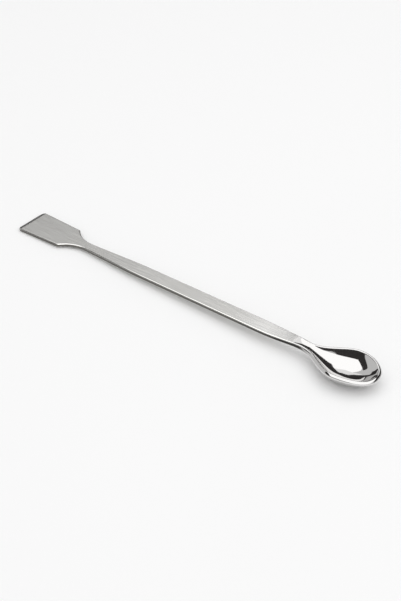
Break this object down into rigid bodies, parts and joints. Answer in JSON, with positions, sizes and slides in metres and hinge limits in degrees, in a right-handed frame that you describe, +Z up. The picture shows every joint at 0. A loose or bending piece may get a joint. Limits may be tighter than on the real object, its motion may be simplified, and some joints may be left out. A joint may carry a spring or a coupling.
{
  "type": "lab spatula",
  "caption": "Slim flat steel handle with a flat scraping blade at one end and an oval spoon bowl at the other, pressed in one piece",
  "frame": {"origin": "middle of the length and of the width, on the surface that the spatula lies on", "axes": "+X runs from the blade to the bowl, +Z is up, and the spatula is the same on both sides of the XZ plane"},
  "size_m": [0.2102, 0.0256, 0.0082],
  "materials": {
    "steel": "satin blade and handle, polished bowl"
  },
  "bodies": {
    "root": {"spatula": "steel"}
  },
  "joints": []
}
